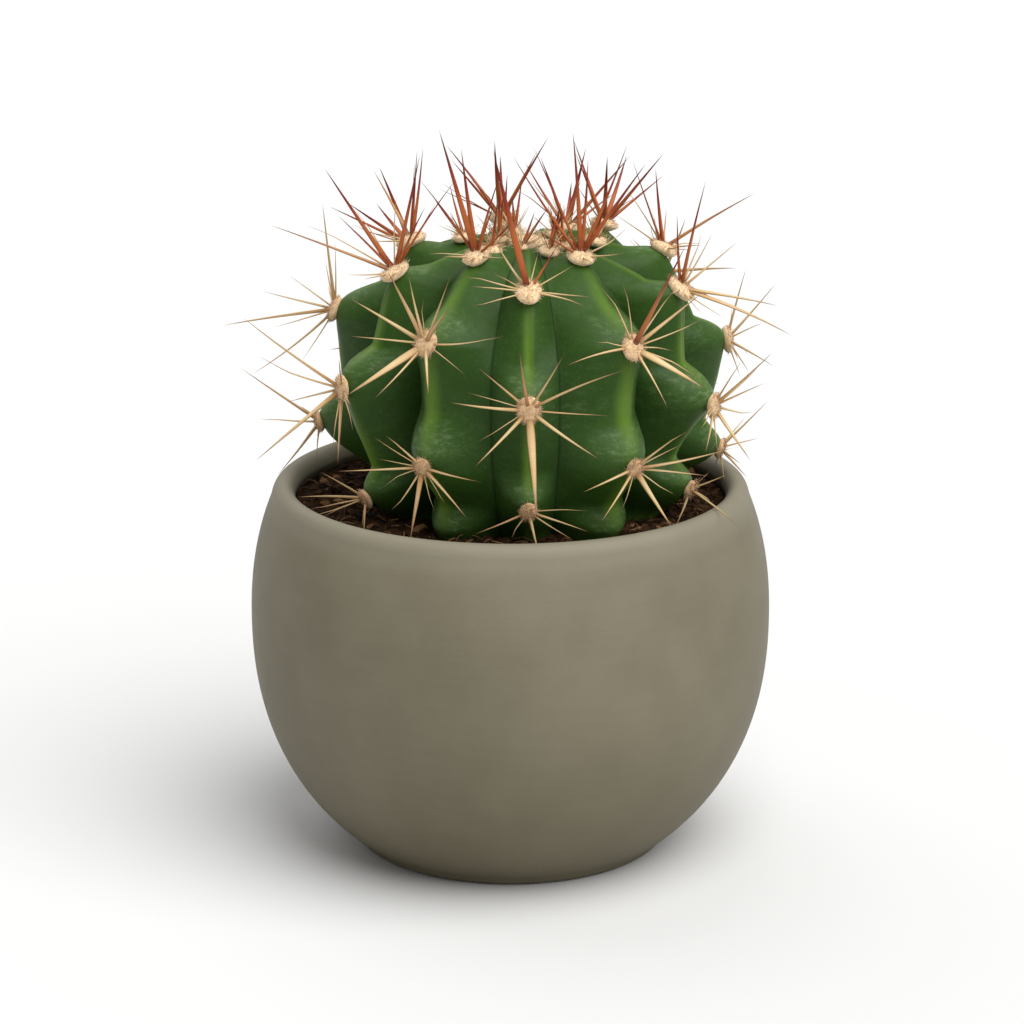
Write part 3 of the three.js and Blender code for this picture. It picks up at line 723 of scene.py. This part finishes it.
# Each spine is (clock, lift, length, width, red, curl, sway): the clock angle in degrees runs
# clockwise from straight up the rib, the lift is the angle off the skin, length and width are in mm,
# red is 0 for straw to 1 for a young red spine, curl bends it off the skin and sway across, as
# shares of its length.
areoleSpines = {
    "front_1": [
        (250, 15, 16, 1.0), (220, 20, 9, 0.8), (165, 35, 12, 1.4), (120, 20, 14, 0.8),
        (100, 15, 17, 1.0), (70, 15, 17, 0.5), (340, 40, 8, 0.6), (20, 40, 8, 0.6)],
    "front_2": [
        (350, 35, 24, 1.3, 0.15), (30, 25, 22, 1.0), (315, 20, 20, 1.0, 0.1), (290, 10, 18, 0.5),
        (275, 15, 22, 1.4), (240, 10, 16, 0.5), (225, 20, 21, 1.5), (175, 22, 29, 3.0),
        (125, 20, 23, 1.5), (92, 15, 22, 0.7), (55, 25, 34, 1.1, 0.1, 0.06, 0.10)],
    "front_3": [
        (330, 60, 41, 2.7, 1), (315, 30, 18, 1.2), (40, 35, 15, 1.1, 0.7), (15, 40, 11, 0.7),
        (275, 15, 18, 0.8), (268, 12, 16, 0.8), (240, 12, 18, 0.6), (285, 25, 11, 0.6),
        (106, 12, 18, 0.9), (114, 14, 17, 0.9), (70, 25, 14, 0.7), (180, 30, 12, 0.8)],
    "left1_1": [
        (330, 20, 14, 0.9), (305, 15, 16, 0.5), (280, 15, 13, 0.5), (265, 15, 24, 1.1),
        (250, 15, 14, 0.5), (210, 20, 15, 0.9), (185, 25, 21, 1.9), (160, 20, 12, 0.5),
        (135, 15, 12, 0.5), (115, 20, 20, 1.3), (90, 12, 21, 1.0), (55, 25, 6, 0.6)],
    "left1_2": [
        (215, 25, 26, 3.1), (330, 35, 22, 1.7), (345, 38, 19, 1.3), (290, 15, 25, 1.6),
        (30, 30, 22, 1.0), (52, 42, 20, 1.6, 0.25), (0, 35, 13, 0.5), (90, 10, 27, 0.8, 0, 0, -0.14),
        (112, 12, 19, 0.5), (265, 12, 22, 0.9), (197, 20, 21, 1.1), (150, 20, 19, 1.5)],
    "left1_3": [
        (280, 80, 38, 2.8, 1), (325, 75, 30, 1.8, 1), (75, 40, 18, 1.2, 0.8), (15, 60, 23, 1.3, 0.9),
        (45, 65, 17, 1.2, 0.9), (270, 60, 26, 1.1, 0.9), (200, 20, 12, 0.9), (160, 20, 12, 0.9),
        (110, 15, 15, 0.7), (240, 15, 13, 0.8)],
    "right1_1": [
        (35, 20, 18, 0.9), (55, 15, 14, 0.6), (80, 20, 28, 1.2), (96, 15, 22, 1.0, 0, 0, 0.1),
        (265, 15, 20, 1.2), (225, 20, 18, 1.2), (200, 20, 12, 0.5), (150, 25, 20, 1.9),
        (125, 20, 14, 0.6), (330, 30, 7, 0.5)],
    "right1_2": [
        (18, 50, 35, 1.9, 0.3), (62, 20, 24, 1.6), (38, 35, 19, 0.9), (335, 25, 21, 0.8),
        (350, 30, 19, 0.6), (82, 10, 22, 0.7), (100, 20, 11, 0.6), (135, 25, 22, 2.7),
        (122, 18, 20, 0.9), (168, 20, 19, 1.1), (270, 12, 26, 1.0, 0, 0, -0.16), (280, 12, 14, 0.5)],
    "right1_3": [
        (350, 75, 35, 2.0, 1), (25, 75, 27, 1.6, 1), (105, 65, 32, 2.6, 0.95), (75, 65, 33, 1.6, 0.9),
        (310, 45, 33, 1.5, 0.95), (330, 55, 33, 1.2, 0.9), (285, 30, 15, 1.0, 0.8), (200, 20, 12, 0.8),
        (150, 20, 13, 0.9), (95, 20, 16, 0.8)],
    "right2_1": [
        (215, 20, 11, 1.2), (15, 40, 12, 0.8), (5, 20, 8, 0.6), (340, 20, 9, 0.6),
        (295, 62, 24, 1.0, 0, -0.1), (110, 25, 14, 0.8)],
    "right2_2": [
        (15, 40, 23, 1.4), (20, 55, 16, 1.0), (180, 42, 18, 2.3), (275, 10, 14, 0.8),
        (262, 12, 19, 0.7), (225, 15, 15, 1.2), (205, 18, 13, 0.8), (355, 25, 16, 0.9),
        (60, 25, 17, 0.9), (110, 20, 18, 0.9)],
    "right2_3": [
        (355, 60, 32, 1.9, 0.7), (350, 45, 21, 1.4, 0.8), (40, 75, 18, 0.8), (100, 65, 20, 1.0),
        (160, 35, 27, 1.7, 0.05, -0.08), (168, 28, 33, 2.5, 0, -0.12), (195, 15, 15, 0.7),
        (60, 30, 18, 0.9), (265, 18, 17, 0.8), (225, 15, 14, 0.7)],
    "right3_1": [
        (355, 25, 19, 1.2), (340, 50, 11, 0.8), (215, 60, 11, 1.2), (200, 25, 10, 0.8),
        (60, 25, 17, 0.9), (270, 15, 14, 0.8), (120, 20, 15, 0.9)],
    "right3_2": [
        (0, 18, 21, 1.2), (350, 45, 21, 1.2), (315, 50, 12, 0.8), (210, 55, 15, 1.2),
        (205, 30, 11, 0.9), (195, 15, 11, 0.8), (270, 15, 15, 0.8), (120, 20, 20, 1.1),
        (75, 20, 18, 0.8)],
    "right3_3": [
        (0, 55, 23, 2.1, 1), (345, 40, 30, 1.0, 0.8), (5, 35, 21, 0.7), (195, 62, 30, 1.5, 0.35),
        (350, 12, 18, 0.7), (215, 35, 11, 1.0), (90, 25, 18, 1.0, 0.3), (135, 20, 15, 0.8),
        (260, 18, 15, 0.7)],
    "left2_1": [
        (345, 25, 15, 1.0), (330, 50, 19, 1.2), (325, 65, 16, 0.8), (320, 75, 13, 0.8),
        (285, 70, 16, 0.8), (120, 40, 12, 1.1), (140, 45, 9, 0.6)],
    "left2_2": [
        (335, 50, 34, 1.4), (315, 65, 25, 0.9), (200, 50, 31, 1.9), (165, 12, 21, 1.6),
        (172, 18, 16, 0.8), (115, 12, 18, 0.7), (95, 14, 17, 0.8), (45, 20, 18, 1.0),
        (250, 25, 20, 1.0)],
    "left2_3": [
        (270, 75, 35, 1.7, 0.6), (215, 50, 37, 1.4, 0.35), (245, 70, 22, 1.2, 0.9), (290, 70, 20, 0.7),
        (230, 55, 28, 0.7), (355, 60, 22, 0.7), (0, 45, 33, 2.1, 0.85), (20, 40, 21, 1.4, 0.9),
        (10, 30, 30, 1.2, 0.7), (190, 25, 13, 0.9), (170, 25, 11, 0.9), (120, 18, 14, 0.8)],
    "left3_1": [
        (10, 40, 27, 1.3), (50, 65, 17, 0.9), (170, 50, 20, 1.3), (165, 20, 10, 0.9),
        (285, 30, 17, 1.0), (100, 20, 13, 0.8), (240, 20, 15, 0.9)],
    "left3_2": [
        (5, 25, 32, 1.8, 0.1), (150, 62, 32, 1.9), (105, 75, 21, 1.0), (20, 70, 16, 0.7),
        (145, 50, 18, 0.8), (165, 25, 30, 1.1), (160, 10, 17, 0.7), (10, 15, 20, 0.8),
        (270, 20, 17, 1.0), (300, 30, 18, 0.9)],
    "left3_3": [
        (0, 65, 26, 1.7, 0.9), (45, 55, 24, 1.3, 0.7), (250, 50, 26, 1.4, 0.35), (130, 20, 14, 0.9),
        (310, 60, 22, 1.1, 0.8), (200, 25, 13, 0.8)],
}
starTurn = 14  # degrees by which the star turns from one rib to the next
starByAge = [  # the ribs behind: main spines, thin ones between them, lift, length, width, red
    {"main": 6, "thin": 4, "lift": 26, "length": 15, "width": 1.2, "red": 0.0},
    {"main": 6, "thin": 4, "lift": 24, "length": 22, "width": 1.5, "red": 0.1},
    {"main": 6, "thin": 3, "lift": 50, "length": 28, "width": 1.8, "red": 0.85},
]


def backSpines(rib, age):
    # a regular star of main spines with thin ones between them, jittered by the seeded generator
    star = starByAge[age]
    spines = []
    for i in range(star["main"]):
        clock = starTurn * rib + (i + 0.5) * 360 / star["main"]
        lift = star["lift"] + 5 * (i % 2)
        spines.append((clock, lift, star["length"] - 3 * (i % 3), star["width"], star["red"]))
    for i in range(star["thin"]):
        clock = starTurn * rib + rng.uniform(0, 360)
        spines.append((clock, star["lift"] * 0.6, star["length"] * 0.7, 0.7, star["red"] * 0.4))
    return spines


def seat(turn, latitude, swell):
    # place on the crest and the directions across the rib, up it and out of the skin
    azimuth = float(strayed(np.array(turn)))
    radius, height = crestLine(latitude)
    outward, upward = crestNormal(latitude)
    away = np.array([math.sin(azimuth), -math.cos(azimuth), 0])
    up = np.array([0, 0, outward]) - away * upward
    out = away * outward + np.array([0, 0, upward])
    place = away * radius + np.array([stem["x"], 0, soilTop + height]) + out * swell
    return place, np.stack([np.cross(up, out), up, out])


spineShape = {
    "rings": 15,
    "sides": 8,
    "tipPower": 1.25,
    "thinBelow": 0.95,        # mm, spines that take a kink
    "slenderBelow": 1.65,     # mm, spines that bend more and are nearly round
    "slenderWidth": 0.82,     # both kinds are made a little narrower than listed
    "stoutWidth": 0.95,
    "broadAbove": 2.1 * mm,   # flattened ones
    "thickness": (0.9, 0.65, 0.42),   # over the width, for slender, stout and broad ones
    "kink": 0.16,
    "curlSpread": 0.022,
    "swaySpread": 0.025,
    "redSpread": 0.13,
}


def spineTubes(base, axes, spines, root):
    # each spine runs from the base along its clock and lift, bent by curl * s^2 and sway * s^2, and
    # thin ones take a kink near the tip; its section is an ellipse whose width falls as 1 - s^p
    rows = np.array([tuple(spine) + (0,) * (7 - len(spine)) for spine in spines], float)
    clock, lift, length, width, red, curl, sway = rows.T
    count = len(rows)
    across, up, out = axes
    clock, lift = np.radians(clock), np.radians(lift)
    flat = np.cos(clock)[:, None] * up + np.sin(clock)[:, None] * across
    along = np.cos(lift)[:, None] * flat + np.sin(lift)[:, None] * out
    side = unit(np.cross(along, out))
    lifted = np.cross(side, along)
    thin = width < spineShape["thinBelow"]
    slender = width < spineShape["slenderBelow"]
    length = length * mm
    width = width * np.where(slender, spineShape["slenderWidth"], spineShape["stoutWidth"]) * mm
    curl = curl + rng.normal(0, spineShape["curlSpread"], count) * (1 + slender)
    sway = sway + rng.normal(0, spineShape["swaySpread"], count) * (1 + slender)
    kinkAt = rng.uniform(0.55, 0.85, count)
    kink = thin * rng.normal(0, spineShape["kink"], count)
    s = np.linspace(0, 1, spineShape["rings"] + 1)[:-1]
    tail = np.append(s, 1.0)
    bent = np.clip(tail - kinkAt[:, None], 0, None)
    path = (base + root * along)[:, None] + length[:, None, None] * (
        tail[None, :, None] * along[:, None]
        + (curl[:, None] * tail ** 2)[..., None] * lifted[:, None]
        + (sway[:, None] * tail ** 2 + kink[:, None] * bent)[..., None] * side[:, None])
    broad = width > spineShape["broadAbove"]
    swell = np.where(broad[:, None], 0.72 + 0.28 * smooth(0, 0.3, s), 1.0 + 0.25 * np.exp(-s / 0.05))
    radius = 0.5 * width[:, None] * swell * (1 - s ** spineShape["tipPower"]) ** 0.9
    thickness = np.select([broad, slender], [spineShape["thickness"][2], spineShape["thickness"][0]],
                          spineShape["thickness"][1])
    angle = np.arange(spineShape["sides"]) * 2 * np.pi / spineShape["sides"]
    ring = (np.cos(angle)[None, :, None] * side[:, None]
            + np.sin(angle)[None, :, None] * lifted[:, None] * thickness[:, None, None])
    rings = path[:, :-1, None] + radius[..., None, None] * ring[:, None]
    points, quads, triangles = closedTubes(rings, path[:, 0], path[:, -1])
    share = np.broadcast_to(s[None, :, None], rings.shape[:3])
    tint = np.clip(red + np.abs(rng.normal(0, spineShape["redSpread"], count)), 0, 1)
    nought, full = np.zeros(count), np.ones(count)
    edge = np.broadcast_to(np.cos(angle) ** 4, share.shape)
    attributes = {
        "along": tubeValues(share, nought, full),
        "lengthMm": tubeValues(share * length[:, None, None] / mm, nought, length / mm),
        "red": tubeValues(np.broadcast_to(tint[:, None, None], share.shape), tint, tint),
        "edge": tubeValues(edge, nought, full),
    }
    return points, quads, triangles, attributes


felt = {
    "sizes": [(2.4, 2.9, 1.3), (3.3, 3.8, 1.6), (3.6, 4.3, 1.9)],  # across, along, out in mm
    "lift": 0.35 * mm,
    "lumps": 0.09,
    "fineLumps": 0.035,
    "rows": 14,
    "sides": 28,
    "hairs": 420,
    "hairLength": 1.0 * mm,
    "hairWidth": 0.06 * mm,
    "hairLean": 0.45,
    "hairBend": 0.35,
    "spineRoot": 0.6 * mm,    # how far out of the cushion's middle a spine begins
}


def cushionPoints(place, axes, sizes, age, seed):
    # a flattened ball, a sphere scaled across, along and out, roughened by noise
    across, up, out = axes
    tilt = np.linspace(-1, 1, felt["rows"] + 2)[1:-1] * np.pi / 2
    turn = np.arange(felt["sides"]) * 2 * np.pi / felt["sides"]
    ball = np.stack([
        np.cos(tilt)[:, None] * np.cos(turn),
        np.cos(tilt)[:, None] * np.sin(turn),
        np.sin(tilt)[:, None] * np.ones(len(turn)),
    ], -1)
    lumps = 1 + felt["lumps"] * softNoise.at(ball + seed, 0.6)
    lumps = lumps + felt["fineLumps"] * roughNoise.at(ball + seed, 0.2)
    size = np.array(sizes) * mm
    local = ball * lumps[..., None] * size
    rings = place + local[..., :1] * across + local[..., 1:2] * up + local[..., 2:] * out
    start = (place - out * size[2])[None]
    end = (place + out * size[2])[None]
    points, quads, triangles = closedTubes(rings[None], start, end)
    core = smooth(0.55, 1, np.sin(tilt))[:, None] * np.ones(len(turn))
    attributes = {
        "age": np.full(len(points), 1 - age / 2),
        "core": tubeValues(core[None], np.zeros(1), np.ones(1)),
    }
    return points, quads, triangles, attributes


def hairTubes(place, axes, sizes, count, length):
    # short three-sided hairs that stand out of the cushion and lean at random
    across, up, out = axes
    turn = rng.uniform(0, 2 * np.pi, count)
    tilt = np.arcsin(rng.uniform(0.05, 1, count))
    ball = np.stack([np.cos(tilt) * np.cos(turn), np.cos(tilt) * np.sin(turn), np.sin(tilt)], -1)
    basis = np.stack([across, up, out])
    root = place + (ball * np.array(sizes) * mm) @ basis
    lean = unit(ball @ basis + rng.normal(0, felt["hairLean"], (count, 3)))
    size = length * rng.uniform(0.5, 1.1, count)
    bend = rng.normal(0, felt["hairBend"], (count, 3)) * size[:, None]
    s = np.array([0, 0.5])
    straight = root[:, None] + size[:, None, None] * s[:, None] * lean[:, None]
    path = straight + bend[:, None] * s[:, None] ** 2
    tip = root + size[:, None] * lean + bend
    side = unit(np.cross(lean, [0.3, 0.5, 0.8]))
    other = np.cross(lean, side)
    angle = np.arange(3) * 2 * np.pi / 3
    ring = np.cos(angle)[:, None] * side[:, None] + np.sin(angle)[:, None] * other[:, None]
    width = felt["hairWidth"] * np.array([1, 0.7])
    rings = path[:, :, None] + width[:, None, None] * ring[:, None]
    return closedTubes(rings, path[:, 0], tip)


attributeNames = ("along", "lengthMm", "red", "edge", "age", "core")


def addPart(parts, mesh, slot, fill):
    # completes a part's attributes, so that every part of a piece has the same ones
    points, quads, triangles = mesh[:3]
    known = mesh[3] if len(mesh) > 3 else {}
    size = len(points)
    values = {key: known.get(key, np.full(size, fill.get(key, 0.0))) for key in attributeNames}
    parts.append((points, quads, triangles, values, slot))


def twoMaterialPiece(name, parts, materials):
    # parts are (points, quads, triangles, values, slot); the slot picks the material of each face
    merged = joined([part[:4] for part in parts])
    piece = meshFrom(name, merged[0], merged[1], merged[2], materials[0], merged[3])
    for material in materials[1:]:
        piece.data.materials.append(material)
    quadSlots = np.concatenate([np.full(len(part[1]), part[4]) for part in parts])
    triangleSlots = np.concatenate([np.full(len(part[2]), part[4]) for part in parts])
    slots = np.concatenate([quadSlots, triangleSlots]).astype(np.int32)
    piece.data.polygons.foreach_set("material_index", slots)
    return piece


def makeAreole(label, rib, age, spines, materials):
    # felt, hairs and spines on the rib's swelling of that age
    latitude, swell = ribShapes[rib][age + 1][:2]
    place, axes = seat(rib * ribTurn, latitude, swell * mm)
    sizes = felt["sizes"][age]
    middle = place + axes[2] * felt["lift"]
    parts = []
    addPart(parts, cushionPoints(middle, axes, sizes, age, rib * 3.7 + age), 0, {})
    hairs = hairTubes(middle, axes, sizes, felt["hairs"], felt["hairLength"])
    addPart(parts, hairs, 0, {"age": 1 - age / 2})
    addPart(parts, spineTubes(middle, axes, spines, felt["spineRoot"]), 1, {})
    side, row = label.split("_")
    piece = twoMaterialPiece(f"areole{side.capitalize()}Row{row}", parts, materials)
    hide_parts("areole_" + label)
    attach(piece, "root")


def makeAreoles(materials):
    # three to each rib, from the oldest by the soil to the youngest
    for rib in range(-5, 6):
        side = "front" if rib == 0 else ("left" if rib < 0 else "right") + str(abs(rib))
        for age in range(3):
            label = f"{side}_{age + 1}"
            spines = areoleSpines.get(label) or backSpines(rib, age)
            makeAreole(label, rib, age, spines, materials)


crown = {
    "rings": [(76, 6), (83, 5)],   # latitude and count of the young areoles in each ring
    "spread": 0.4,
    "latitudeSpread": 2,
    "size": (2.9, 3.3, 1.5),       # of a young cushion, across, along and out in mm
    "shrink": 0.2,                 # from the outer ring to the inner one
    "lift": 0.6 * mm,
    "hairs": 120,
    "hairLength": 2.2 * mm,
    "spines": 14,
    "strongSpines": 2,
    "spineLength": 13,
    "spineRoot": 0.4 * mm,
    "sinkFrom": 70,                # latitude above which the young areoles sink into the dimple
    "wool": (5.5, 5.5, 2.2),       # the cushion in the crown's middle, in mm
    "woolLift": 0.3 * mm,
    "woolHairs": 260,
    "woolLength": 3 * mm,
}


def youngSpines():
    # a few strong upright spines, then thin ones at random
    spines = []
    for k in range(crown["spines"]):
        strong = k < crown["strongSpines"]
        spines.append((
            rng.uniform(0, 360),
            rng.uniform(55, 85) if strong else rng.uniform(25, 70),
            crown["spineLength"] * rng.uniform(0.7, 1.25) if strong else rng.uniform(5, 11),
            rng.uniform(1.2, 1.7) if strong else rng.uniform(0.4, 0.7),
            rng.uniform(0.75, 1) if strong else rng.uniform(0, 0.35),
        ))
    return spines


def makeCrown(materials):
    # rings of young areoles round a cushion of wool that fills the dimple
    parts = []
    for ringIndex, (latitude, count) in enumerate(crown["rings"]):
        for i in range(count):
            turn = (i + crown["spread"] * (ringIndex + 1)) * 2 * np.pi / count
            turn = (turn + np.pi) % (2 * np.pi) - np.pi
            stray = rng.uniform(-crown["latitudeSpread"], crown["latitudeSpread"])
            place, axes = seat(turn, latitude + stray, 0)
            sunk = (latitude - crown["sinkFrom"]) / (90 - crown["sinkFrom"])
            place = place - np.array([0, 0, stem["dimple"] * sunk])
            middle = place + axes[2] * crown["lift"]
            scale = 1 - crown["shrink"] * ringIndex
            sizes = tuple(value * scale for value in crown["size"])
            addPart(parts, cushionPoints(middle, axes, sizes, 2, i + 20.0), 0, {})
            hairs = hairTubes(middle, axes, sizes, crown["hairs"], crown["hairLength"])
            addPart(parts, hairs, 0, {})
            addPart(parts, spineTubes(middle, axes, youngSpines(), crown["spineRoot"]), 1, {})
    top = soilTop + stem["belt"] + stem["crownRise"] - stem["dimple"]
    middle = np.array([stem["x"], 0, top + crown["woolLift"]])
    addPart(parts, cushionPoints(middle, np.eye(3), crown["wool"], 2, 55.0), 0, {})
    hairs = hairTubes(middle, np.eye(3), crown["wool"], crown["woolHairs"], crown["woolLength"])
    addPart(parts, hairs, 0, {})
    piece = twoMaterialPiece("crownTuft", parts, materials)
    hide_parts("crown_tuft")
    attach(piece, "root")


soil = {
    "inset": 0.3 * mm,        # the bed's distance from the pot's wall
    "sink": 1.0 * mm,         # of its middle level under the solid's top
    "relief": 1.7 * mm,
    "broadCell": 12 * mm,
    "smallCell": 5 * mm,
    "fineCell": 1.6 * mm,
    "chipGap": 1.5 * mm,      # least distance of a piece's middle from the pot's wall
    "fibreGap": 0.8 * mm,
    "rings": 90,
    "sides": 260,
    "clods": 260,
    "chips": 700,
    "grit": 1400,
    "fibres": 190,
}


def soilHeight(x, y):
    # the soil's level with broad and fine noise, worked out for whole arrays
    flat = np.stack([x, y, np.zeros_like(x)], -1)
    broad = softNoise.at(flat, soil["broadCell"]) * 0.6 + roughNoise.at(flat, soil["smallCell"]) * 0.4
    fine = roughNoise.at(flat + 3.1, soil["fineCell"]) * 0.35
    return soilTop - soil["sink"] + soil["relief"] * (broad + fine) * 0.55


def makeSoil(material):
    # up the wall inside the pot, then rings inwards at the soil's height, closed under the stem
    depth = np.linspace(pot["floor"] + soil["inset"], soilTop - 3 * mm, 24)
    wallRadius = potOutside(depth) - pot["wall"] - soil["inset"]
    wall = spun(np.stack([wallRadius, depth], -1), soil["sides"])
    edge = wallRadius[-1] - 0.1 * mm
    radius = np.linspace(edge, edge * 0.3, soil["rings"])
    top = spun(np.stack([radius, np.zeros_like(radius)], -1), soil["sides"])
    top[..., 2] = soilHeight(top[..., 0], top[..., 1])
    rings = np.concatenate([wall, top])[None]
    start = np.array([[0, 0, depth[0]]])
    end = np.array([[0, 0, soilTop - soil["sink"]]])
    piece = meshFrom("soilBed", *closedTubes(rings, start, end), material, {})
    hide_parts("soil")
    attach(piece, "root")


def ringPlaces(count):
    # random places on the soil between the stem and the pot's wall
    turn = rng.uniform(0, 2 * np.pi, count)
    limit = potOutside(np.array(soilTop)) - pot["wall"] - soil["chipGap"]
    radius = limit * np.sqrt(rng.uniform(0.42, 1, count))
    x, y = radius * np.cos(turn), radius * np.sin(turn)
    return np.stack([x, y, soilHeight(x, y)], -1)


def chipTubes(count, shortest, longest, thin):
    # bark chips: three rings of six sides on random axes, each ring stretched at random
    middle = ringPlaces(count)
    size = rng.uniform(shortest, longest, count) * mm
    long = unit(rng.normal(0, 1, (count, 3)) * [1, 1, 0.3])
    wide = unit(np.cross(long, rng.normal(0, 0.35, (count, 3)) + [0, 0, 1]))
    thick = np.cross(long, wide)
    angle = np.arange(6) * np.pi / 3
    ring = np.cos(angle)[:, None] * wide[:, None] + thin * np.sin(angle)[:, None] * thick[:, None]
    reach = np.array([-0.75, 0.0, 0.75])
    fat = np.array([0.35, 0.5, 0.3]) * rng.uniform(0.6, 1.3, (count, 3))
    jitter = rng.uniform(0.7, 1.25, (count, 3, 6, 1))
    rings = (middle[:, None, None] + size[:, None, None, None] * (
        reach[:, None, None] * long[:, None, None] + fat[..., None, None] * jitter * ring[:, None]))
    tips = size[:, None] * long
    mesh = closedTubes(rings, middle - tips * 0.95, middle + tips * 0.95)
    tone = np.repeat(rng.beta(1.3, 2.8, count), 3 * 6 + 2)
    return (*mesh, {"tone": tone})


def fibreTubes(count):
    # coir fibres: thin four-sided tubes on a curved path that hugs the soil
    start = ringPlaces(count)
    heading = rng.uniform(0, 2 * np.pi, count)
    length = rng.uniform(3, 9, count) * mm
    curve = rng.normal(0, 0.9, count)
    s = np.linspace(0, 1, 7)
    angle = heading[:, None] + curve[:, None] * s
    x = start[:, :1] + length[:, None] * s * np.cos(angle)
    y = start[:, 1:2] + length[:, None] * s * np.sin(angle)
    limit = potOutside(np.array(soilTop)) - pot["wall"] - soil["fibreGap"]
    shrink = np.minimum(1, limit / np.hypot(x, y))
    x, y = x * shrink, y * shrink
    rise = 0.4 * mm + np.sin(np.pi * s) * rng.uniform(0, 1.6, count)[:, None] * mm
    path = np.stack([x, y, soilHeight(x, y) + rise], -1)
    side = np.stack([-np.sin(angle), np.cos(angle), 0 * angle], -1)
    width = rng.uniform(0.07, 0.2, count)[:, None, None, None] * mm
    turn = np.arange(4) * np.pi / 2
    upright = np.array([0, 0, 1])
    ring = np.cos(turn)[:, None] * side[:, :, None] + np.sin(turn)[:, None] * upright
    rings = path[:, 1:-1, None] + width * ring[:, 1:-1]
    mesh = closedTubes(rings, path[:, 0], path[:, -1])
    tone = np.repeat(rng.uniform(0.3, 1, count), 5 * 4 + 2)
    return (*mesh, {"tone": tone})


def makeSoilPieces(material):
    # loose pieces on the bed: shortest and longest half length in mm, and thickness over width
    for name, parts in (
        ("barkChips", [chipTubes(soil["chips"], 1.0, 3.4, 0.4)]),
        ("soilCrumbs", [
            chipTubes(soil["clods"], 1.3, 2.7, 0.85),
            chipTubes(soil["grit"], 0.35, 1.0, 0.8),
        ]),
        ("coirFibres", [fibreTubes(soil["fibres"])]),
    ):
        points, quads, triangles, values = joined(parts)
        piece = meshFrom(name, points, quads, triangles, material, values)
        piece.data.polygons.foreach_set("use_smooth", np.zeros(len(piece.data.polygons), bool))
        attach(piece, "root")


def makeFloor(material):
    # one large square under the pot
    edge = 6.0
    corners = np.array([[-edge, -edge, 0], [edge, -edge, 0], [edge, edge, 0], [-edge, edge, 0.0]])
    floor = meshFrom("floor", corners, np.array([[0, 1, 2, 3]]), np.zeros((0, 3), int), material, {})


makeCamera()
makeStudio()
print("camera and lights are set")
makeFloor(floorMatter())
makePot(potMatter())
print("pot is made")
makeSoil(soilMatter())
makeSoilPieces(barkMatter())
print("soil, chips and fibres are made")
makeStem(skinMatter())
print("stem is made")
hornAndFelt = [feltMatter(), spineMatter()]
makeAreoles(hornAndFelt)
makeCrown(hornAndFelt)
print("areoles, spines and crown are made")
